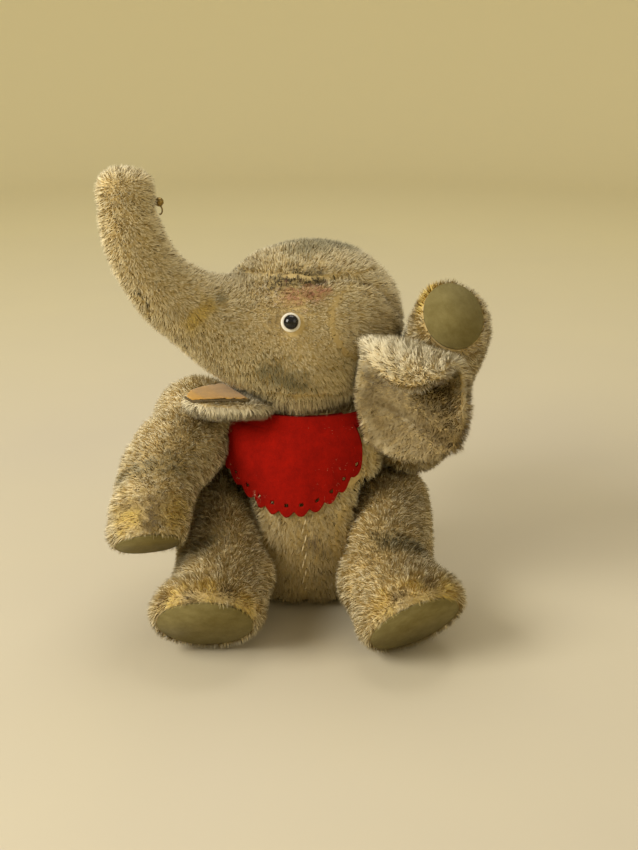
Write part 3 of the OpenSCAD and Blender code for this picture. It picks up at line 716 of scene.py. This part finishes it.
for side, word in ((1, "left"), (-1, "right")):
    ring_low, ring_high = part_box("eye_ring_" + word)
    ring_middle = (ring_low + ring_high) / 2
    look = Vector(leftward * side * 0.84 + facing * 0.36 + np.array([0, 0, 0.40])).normalized()
    dome = [(3.3 * math.sin(a), 1.0 + 2.6 * math.cos(a)) for a in np.linspace(0, math.pi * 0.62, 14)]
    dome += [(1.2, -0.9), (0, -0.9)]
    eye = turned_on("glass_eye_" + word, dome, ring_middle + look * 0.5 * MM, look, glass, "head")
    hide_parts("eye_" + word)
    edge = [(1.0, 0.2), (3.3, 0.75), (3.9, 0.8), (4.3, 0.45), (4.4, 0), (4.2, -0.5), (3.5, -0.7), (1.0, -0.7),
            (1.0, 0.2)]
    ring = turned_on("eye_felt_" + word, edge, ring_middle, look, felt_white, "head")
    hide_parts("eye_ring_" + word)

# ---- Stud: a small brass bead with a bent wire, on the inner side of the trunk's end ----
# The bead is a little uneven. Its wire comes out below it and curls back into the mohair.

brass, brass_tree, brass_shader = shaded("aged_brass", paint(150, 122, 62), 0.38)
brass_shader.inputs["Metallic"].default_value = 0.9
grained(brass_tree, brass_shader, paint(92, 72, 40), paint(176, 150, 88), 1400)
stud_low, stud_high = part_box("trunk_stud")
stud_middle = (stud_low + stud_high) / 2
bead = [(2.0 * math.sin(a), 2.0 * math.cos(a)) for a in np.linspace(0, math.pi, 15)]
bead = [(r * (1 + 0.06 * math.cos(6 * h)), h) for r, h in bead]
stud = turned_on("trunk_stud_bead", bead, stud_middle, Vector((0.3, -0.3, 1)), brass, "head", 24)
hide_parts("trunk_stud")
hook = []
for a in np.linspace(0, 3.6, 12):
    hook.append(stud_middle + Vector((0.0003 + 0.0016 * math.sin(a) * 0.6, 0, -0.0018 - 0.0018 * (1 - math.cos(a)))))
stitches("trunk_stud_wire", [hook], 0.7 * MM, "head", brass)

# ---- Ears: two layers of mohair, stitched round and turned outside in ----
# Each is dished forwards, and its top edge has rolled over, so that the longer pile of its back shows
# above the hollow. The layers are cut as one grid, rolled, wrinkled and given their thickness.

ear_length = 55 * MM
ear_sweep = math.radians(25)
ear_root_out, ear_root_back, ear_root_up = 0.0372, 0.008, 0.0146
ear_thickness = 2.4 * MM
ear_squareness = 0.78


def ear_place(side, out, up, ahead):
    """A place on an ear in metres: out from its seam, up from its middle and ahead of it."""
    x = out * math.cos(ear_sweep) + ahead * math.sin(ear_sweep)
    y = out * math.sin(ear_sweep) - ahead * math.cos(ear_sweep)
    level = np.array(neck_place) + side * (ear_root_out + x) * leftward - (ear_root_back + y) * facing
    return level + np.array([0, 0, ear_root_up + up])


def ear_form(side, share_out, share_up):
    """Where a point of the flat ear goes: dished, with its top rolled forwards and its hollow creased."""
    radius = 4.2 * MM
    out = share_out * ear_length
    rise = share_up * (40 if share_up > 0 else 36) * MM
    fold = (20.5 - 3.5 * share_out - 9 * max(0, 0.3 - share_out)) * MM
    if rise > fold:
        turn = min((rise - fold) / radius, math.radians(162))
        past = max(rise - fold - radius * turn, 0)
        up = fold + radius * math.sin(turn) + past * math.cos(turn)
        ahead = radius * (1 - math.cos(turn)) + past * math.sin(turn)
    else:
        up, ahead = rise, 0
    dish = (1 - (2 * share_out - 1) ** 2) * (1 - min(1, abs(rise / (30 * MM))) ** 2)
    ahead += 1.5 * MM - 6.5 * MM * dish
    ridge = math.exp(-(((rise + 5 * MM + 0.35 * (out - 24 * MM)) / (4.5 * MM)) ** 2))
    groove = math.exp(-(((rise + 12 * MM + 0.3 * (out - 30 * MM)) / (3.0 * MM)) ** 2))
    ahead += 2.6 * MM * ridge * math.sin(math.pi * share_out)
    ahead -= 2.6 * MM * groove * math.sin(math.pi * share_out)
    return ear_place(side, out, up, ahead)


def make_ear(side, word):
    """One ear with its pile; side is 1 for the left ear and -1 for the right."""
    form = bmesh.new()
    bmesh.ops.create_grid(form, x_segments=40, y_segments=52, size=1)
    for v in form.verts:
        a, b = v.co.x, v.co.y
        reach = (abs(a) ** 6 + abs(b) ** 6) ** (1 / 6)
        long = max(math.hypot(a, b), 1e-9)
        a, b = a / long * reach, b / long * reach
        a, b = (math.copysign(abs(x) ** ear_squareness, x) for x in (a, b))
        if b > 0:
            b *= 1 - 0.34 * max(0, -a) ** 1.5 - 0.1 * max(0, a) ** 2
        else:
            b *= 0.75 + 0.06 * max(0, -a) - 0.22 * max(0, a) ** 2
        v.co = ear_form(side, 0.5 + 0.5 * a, b)
    bmesh.ops.recalc_face_normals(form, faces=form.faces)
    bmesh.ops.solidify(form, geom=form.faces[:], thickness=ear_thickness)
    softened(form, 2, 0.4)
    bmesh.ops.recalc_face_normals(form, faces=form.faces)
    made = solid_from("ear_%s_mohair" % word, form, backing)
    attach(made, "head")
    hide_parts("ear_" + word, "ear_lining_" + word)
    centre = ear_place(side, 0.5 * ear_length, 0.0, 0.0)

    def to_edge(root, up):
        return unit(root - centre) + [0, 0, -0.2]

    def ear_pile(root, up):
        """Short pile in the hollow, whose darker colour is painted shade laid by the ear marks; long on the back and
        the rolled edge.
        """
        front = unit(np.array([ear_place(side, 0, 0, 1) - ear_place(side, 0, 0, 0)]))[0]
        inside = ((up @ front) > 0.3) & (root[:, 2] < centre[2] + 0.016)
        line = np.exp(-((along(root, ear_seam) / (0.9 * MM)) ** 2))
        return 1 - 0.5 * line, np.where(inside, 0.72, 1.05) * (1 - 0.45 * line)

    def on_ear(ahead, *spots):
        return [ear_place(side, x * MM, z * MM, ahead) / MM for x, z in spots]

    ear_seam = []
    for t in np.linspace(0.12, 0.92, 9):
        ear_seam.append(np.array(ear_form(side, t, 0.86 - 0.34 * max(0, 1 - 2 * t) ** 1.5)))
    flap = [np.array(ear_form(side, t, 0.62)) for t in np.linspace(0.12, 0.9, 7)]
    ear_marks_and_painted_shade = [
        # Painted shade: the hollow is painted a darker olive, most towards its middle.
        (on_ear(1 * MM, (10, -4), (28, 2), (44, -4)), 14, (112, 88, 40), 0.75),
        (on_ear(1 * MM, (12, -18), (30, -20), (46, -14)), 9, (124, 98, 46), 0.65),
        # Painted shade: a dark line in the crease under the rolled edge.
        (on_ear(0, (8, 6), (26, 9), (44, 7)), 4.0, (78, 58, 26), 0.7),
        ([p / MM for p in flap], 8, (238, 228, 198), 0.7),
        ([p / MM for p in ear_seam], 1.0, (120, 92, 46), 0.85),
    ]

    coat = pile("ear_%s_pile" % word, made, "head", 56000, to_edge, 3.5 * MM, ear_marks_and_painted_shade,
                walls("head_skin", "arm_left_skin"), ear_pile, seed=20 + side, lean=0.5)
    for piece in (made, coat):
        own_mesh(piece)


make_ear(1, "left")
make_ear(-1, "right")

# ---- Arms and legs: stuffed mohair bags with felt soles ----
# Each hangs on a disc joint. The pile is brushed down to the sole. Toes are airbrushed yellow with dark
# spots between, and grey bands cross the limbs.

limb_marks = {
    "arm_right": [
        ([(-86, -50, 78), (-70, -52, 83), (-56, -50, 85)], 4.2, (96, 92, 70), 0.62),
        ([(-75, -68, 66)], 6.5, (230, 200, 98), 0.85),
        ([(-59, -62, 66)], 6.5, (230, 200, 98), 0.85),
        ([(-68, -68, 62), (-66, -69, 71)], 3.6, (86, 62, 50), 0.8),
        ([(-80, -66, 71), (-62, -64, 73)], 2.6, (110, 86, 66), 0.6),
    ],
    "arm_left": [
        ([(53, -32, 152), (58, -26, 158)], 4.6, (230, 200, 98), 0.85),
        ([(52, -26, 147)], 3.4, (96, 72, 56), 0.7),
        ([(60, -10, 130), (75, -10, 128)], 5.0, (96, 92, 70), 0.6),
    ],
    "leg_right": [
        ([(-56, -89, 36)], 5.2, (230, 200, 98), 0.85),
        ([(-41, -89, 40)], 6.2, (230, 200, 98), 0.85),
        ([(-26, -87, 32)], 6.0, (230, 200, 98), 0.85),
        ([(-48, -91, 37)], 3.2, (86, 62, 50), 0.8),
        ([(-33, -88, 39)], 3.2, (86, 62, 50), 0.8),
        ([(-60, -86, 34)], 3.0, (96, 72, 56), 0.7),
        ([(-58, -50, 40), (-44, -50, 45)], 5.0, (96, 92, 70), 0.5),
    ],
    "leg_left": [
        ([(37, -90, 33)], 5.0, (230, 200, 98), 0.85),
        ([(48, -88, 39)], 6.0, (230, 200, 98), 0.85),
        ([(62, -86, 37)], 6.0, (230, 200, 98), 0.85),
        ([(42, -90, 37)], 3.4, (86, 62, 50), 0.8),
        ([(55, -84, 40)], 3.6, (86, 62, 50), 0.8),
        ([(38, -50, 44), (52, -50, 43)], 5.4, (90, 88, 66), 0.7),
    ],
}
limb_creases = {
    "leg_right": [([(-60, -66, 34), (-53, -70, 38), (-38, -76, 38), (-25, -80, 33)], 1.8, 3.2)],
    "leg_left": [([(30, -76, 30), (42, -74, 38), (58, -70, 36)], 1.4, 3.2)],
    "arm_right": [],
    "arm_left": [],
}


def sole_frame(node):
    """Middle, outward way, the two long ways and the half widths along them of a sole's CAD node."""
    at = places(cad_nodes[node].data)
    middle = at.mean(0)
    _, ways = np.linalg.eigh(np.cov((at - middle).T))
    out = ways[:, 0]
    limb = places(cad_nodes[node.replace("pad", "skin")].data).mean(0)
    if (middle - limb) @ out < 0:
        out = -out
    reach = [abs((at - middle) @ ways[:, k]).max() for k in (1, 2)]
    return middle, out, ways[:, 1], ways[:, 2], reach[0], reach[1]


def make_limb(name, count, long, seed, neighbours):
    """A stuffed arm or leg with its pile and its felt sole."""
    creases = []
    for line, deep, wide in limb_creases[name]:
        creases.append(([np.array(p) * MM for p in line], deep * MM, wide * MM))
    bag = stuffed(name + "_mohair", [name + "_skin", name + "_stuffing"], name, creases)
    middle, out, one, two, reach_one, reach_two = sole_frame(name + "_pad")
    hip = np.array(next(j["pos_m"] for j in frame["joints"] if j["name"] == name + "_swing"))
    down_limb = unit(np.array([middle - hip]))[0]

    def off_sole(root, up):
        """No pile under the felt sole, and pile that leans over its edge."""
        rel = root - middle
        in_oval = (rel @ one / (reach_one * 0.97)) ** 2 + (rel @ two / (reach_two * 0.97)) ** 2 < 1
        on_sole = in_oval & (abs(rel @ out) < 4 * MM) & (up @ out > 0.5)
        near_flat = (abs(root[:, 0] - hip[0]) < 0.8 * MM) & (abs(up[:, 0]) > 0.85)
        return np.where(on_sole, 0.0, np.where(near_flat, 0.1, 1.0)), np.ones(len(root))

    def brushed_down(root, up):
        return np.repeat([0.8 * down_limb + [0, 0, -0.3]], len(root), 0)

    pile(name + "_pile", bag, name, count, brushed_down, long, limb_marks[name], walls(*neighbours), off_sole,
         seed=seed)
    # The sole is a felt disc, domed by the filling behind it and turned in at its seam.
    form = bmesh.new()
    bmesh.ops.create_circle(form, cap_ends=True, radius=1, segments=64)
    cap = form.faces[:]
    for share in (0.04, 0.05, 0.1, 0.2, 0.2, 0.2):
        bmesh.ops.inset_region(form, faces=cap, thickness=share)
    bmesh.ops.triangulate(form, faces=[f for f in form.faces if len(f.verts) > 4])
    for v in form.verts:
        r = min(math.hypot(v.co.x, v.co.y), 1)
        pucker = 0.05 * math.sin(5 * math.atan2(v.co.y, v.co.x)) * r
        crown = 1.6 * MM * (1 - r ** 4) + pucker * MM
        level = middle + one * v.co.x * reach_one * 0.985 + two * v.co.y * reach_two * 0.985
        v.co = level + out * (crown - 0.1 * MM)
    bmesh.ops.recalc_face_normals(form, faces=form.faces)
    if sum((f.normal.dot(Vector(out)) for f in form.faces)) < 0:
        bmesh.ops.reverse_faces(form, faces=form.faces)
    bmesh.ops.solidify(form, geom=form.faces[:], thickness=1.1 * MM)
    bmesh.ops.recalc_face_normals(form, faces=form.faces)
    sole = solid_from(name + "_sole", form, felt_grey)
    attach(sole, name)
    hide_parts(name + "_pad")


make_limb("arm_right", 52000, 3.6 * MM, 31,
          ("torso_skin", "leg_right_skin", "lower_lip", "head_skin", "arm_right_pad"))
make_limb("arm_left", 52000, 3.6 * MM, 32, ("torso_skin", "ear_left", "head_skin", "arm_left_pad"))
make_limb("leg_right", 65000, 3.6 * MM, 33, ("torso_skin", "arm_right_skin", "leg_right_pad"))
make_limb("leg_left", 65000, 3.6 * MM, 34, ("torso_skin", "leg_left_pad"))

# ---- Bib: red felt with a scalloped, punched edge ----
# It is one flat piece of felt hung round the neck, so it falls straight from where the body is widest.
# Its band is a second, narrow strip of the same felt, folded over the bib's neck edge.

bib_across, bib_down = 168, 60
bib_half = math.radians(58)
bib_twist = math.radians(-12)
bib_scallops = 11
bib_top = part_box("bib")[1].z + 4.0 * MM


def reach_at(angle, height):
    """How far the chest comes out from the neck's axis at an angle and a height."""
    way = Vector((math.sin(angle), -math.cos(angle), 0))
    hit = torso_top.ray_cast(Vector((0, 0, height)) + way * 0.2, -way)[0]
    return (hit - Vector((0, 0, hit.z))).length if hit else 0.02


def bib_depth(t):
    """The bib's length at a share of its width from -1 to 1, with the scallops."""
    full, side = 46.5, 25.0
    if abs(t) > 0.94:
        side -= 7.0 * ((abs(t) - 0.94) / 0.06) ** 2
    scallop = 2.9 * abs(math.sin(math.pi / 2 * bib_scallops * (t + 1)))
    return (side + (full - side) * (1 - abs(t) ** 2.0) + scallop) * MM


form = bmesh.new()
bmesh.ops.create_grid(form, x_segments=bib_across, y_segments=bib_down, size=1)
form.verts.ensure_lookup_table()
columns = {}
for v in form.verts:
    columns.setdefault(round(v.co.x, 5), []).append(v)
for t, column in columns.items():
    angle = t * bib_half + bib_twist
    depth = bib_depth(t)
    column.sort(key=lambda v: -v.co.y)
    far, last, height = 0, None, bib_top
    step = depth / bib_down
    for v in column:
        far = max(far, reach_at(angle, height) + 3.3 * MM)
        down = (bib_top - height) / depth
        flare = 2.2 * MM * max(0, abs(t) - 0.55) ** 1.2 * down
        wave = 0.55 * MM * math.sin(5.2 * t + 1.0) * down + 0.3 * MM * math.sin(11 * t) * down ** 2
        out = far + flare + wave
        v.co = Vector((out * math.sin(angle), -out * math.cos(angle), height))
        slope = 0 if last is None else abs(out - last)
        last = out
        height -= math.sqrt(max(step ** 2 - slope ** 2, (0.3 * step) ** 2))
hole_faces = set()
for k in range(bib_scallops):
    t = (2 * k + 1) / bib_scallops - 1
    column = columns[min(columns, key=lambda x: abs(x - t))]
    spot = column[max(0, int(bib_down * (1 - 5.2 * MM / bib_depth(t))))].co
    hole_faces |= {f for v in form.verts if (v.co - spot).length < 0.62 * MM for f in v.link_faces}
hole_faces = sorted(hole_faces, key=lambda f: f.index)
bmesh.ops.delete(form, geom=hole_faces, context="FACES_ONLY")
bmesh.ops.recalc_face_normals(form, faces=form.faces)
flat_area = sum(f.calc_area() for f in form.faces)
bmesh.ops.solidify(form, geom=form.faces[:], thickness=1.1 * MM)
bmesh.ops.recalc_face_normals(form, faces=form.faces)
bib = solid_from("bib_felt", form, felt_red)
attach(bib, "torso")
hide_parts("bib")

form = bmesh.new()
bmesh.ops.create_grid(form, x_segments=120, y_segments=8, size=1)
for v in form.verts:
    angle = v.co.x * math.radians(178)
    share = 0.5 + 0.5 * v.co.y
    height = bib_top + (-5.0 + 6.6 * share) * MM - 0.7 * MM * math.cos(angle - 0.4)
    out = max(reach_at(angle, bib_top - 3 * MM), 14 * MM) + (5.4 - 2.0 * share - 1.6 * share ** 2) * MM
    v.co = Vector((out * math.sin(angle), -out * math.cos(angle), height))
bmesh.ops.recalc_face_normals(form, faces=form.faces)
bmesh.ops.solidify(form, geom=form.faces[:], thickness=1.0 * MM)
bmesh.ops.recalc_face_normals(form, faces=form.faces)
band = solid_from("bib_band_felt", form, felt_red)
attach(band, "torso")
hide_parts("bib_band")

# ---- Tail: a small mohair stub at the back ----
# It is a rolled strip of the same mohair, sewn into the body's back seam.

tail = stuffed("tail_mohair", ["tail"], "torso", grain=1.2 * MM, ease=4, most=0.4 * MM)
tail_points = places(tail.data)
toward_root = (tail_points[:, 1].max() - tail_points[:, 1]) / np.ptp(tail_points[:, 1])
tail_points[:, 1] -= 4 * MM * toward_root
moved(tail, tail_points)
pile("tail_pile", tail, "torso", 7000, hanging, 3.4 * MM, clear=walls("torso_skin"), seed=41)

# ---- Inside: filling, fibre discs, steel washers and split pins ----
# They are the CAD nodes, hidden in the bags, with the finishes of their stock.


def mottled(name, dark, light, scale, rough, metal=0.0):
    """The finish of a plain part: two close colours in a grain of that scale."""
    made, tree, shader = shaded(name, paint(*light), rough)
    shader.inputs["Metallic"].default_value = metal
    grained(tree, shader, paint(*dark), paint(*light), scale)
    return made


kapok = mottled("kapok_filling", (176, 156, 118), (214, 198, 162), 300, 0.95)
fibre = mottled("fibre_board", (92, 62, 40), (128, 92, 62), 600, 0.85)
steel = mottled("dull_steel", (120, 118, 112), (168, 166, 160), 500, 0.4, 0.9)
for name, node in cad_nodes.items():
    for key, finish in (("stuffing", kapok), ("disc", fibre), ("washer", steel), ("pin", steel)):
        if key in name:
            for place in node.material_slots:
                place.material = finish
